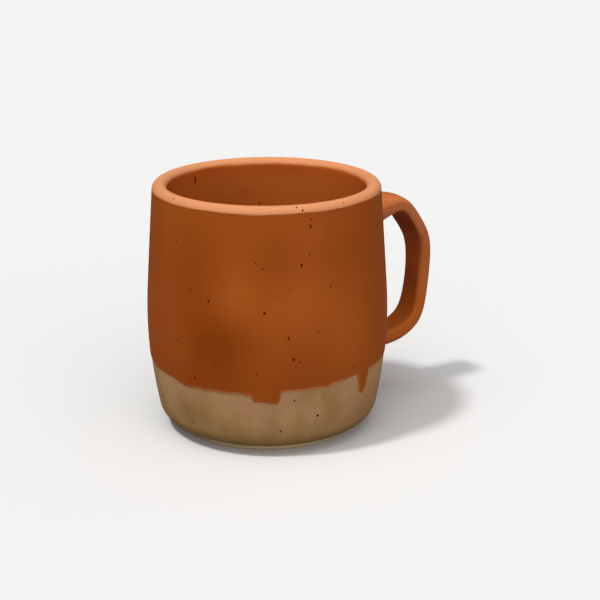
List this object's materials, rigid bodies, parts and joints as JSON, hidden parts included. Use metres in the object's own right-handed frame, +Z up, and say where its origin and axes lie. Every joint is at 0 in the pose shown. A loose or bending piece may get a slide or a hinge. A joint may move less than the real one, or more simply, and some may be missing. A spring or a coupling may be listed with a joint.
{
  "type": "mug",
  "caption": "Barrel-shaped stoneware mug with a pulled strap handle, a glaze dipped short of the base and a bare clay foot ring.",
  "frame": {"origin": "centre of the foot ring's underside, on the mug's axis, at table level", "axes": "+Z up along the mug's axis, +X from the axis out through the handle, +Y to the left of the handle seen from the axis"},
  "size_m": [0.118, 0.0874, 0.09],
  "materials": {
    "stoneware": "matte",
    "joining_slip": "matte",
    "orange_glaze": "satin",
    "pale_rim_glaze": "satin"
  },
  "bodies": {
    "root": {"body": "stoneware", "handle": "stoneware", "upper_joint_slip": "joining_slip", "lower_joint_slip": "joining_slip", "outer_glaze": "orange_glaze", "handle_glaze": "orange_glaze", "liner_glaze": "orange_glaze", "rim_glaze": "pale_rim_glaze"}
  },
  "joints": []
}
